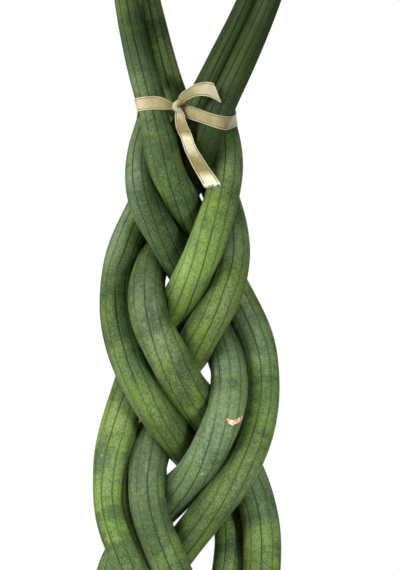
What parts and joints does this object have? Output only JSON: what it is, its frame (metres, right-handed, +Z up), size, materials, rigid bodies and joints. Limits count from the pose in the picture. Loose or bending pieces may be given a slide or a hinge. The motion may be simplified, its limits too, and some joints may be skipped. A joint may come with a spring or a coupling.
{
  "type": "cylindrical snake plant",
  "caption": "Potted cylindrical snake plant: thick round upright leaves plaited flat into a column, tied with a narrow ribbon where their pointed tips part.",
  "frame": {"origin": "middle of the pot's underside, on the surface the pot stands on", "axes": "+Z up along the braid, +X to the right as the braid's front is seen, +Y away from the braid's front"},
  "size_m": [0.194, 0.194, 0.7501],
  "materials": {
    "clay": "matte unglazed terracotta",
    "soil": "loose crumbly potting mix",
    "leaf_mid": "waxy leaf skin with fine grooves, banded mid green",
    "leaf_grey": "waxy leaf skin with fine grooves, grey green",
    "leaf_bright": "waxy leaf skin with fine grooves, yellow green",
    "leaf_dark": "waxy leaf skin with fine grooves, dark green",
    "ribbon": "satin ribbon with woven edges"
  },
  "bodies": {
    "root": {"pot": "clay", "soil": "soil", "leaf_front_left_tall": "leaf_mid", "leaf_scarred": "leaf_grey", "leaf_bright": "leaf_bright", "leaf_back_left_tall": "leaf_mid", "leaf_back_right_tall": "leaf_mid", "leaf_front_right_tall": "leaf_dark", "ribbon": "ribbon"}
  },
  "joints": []
}
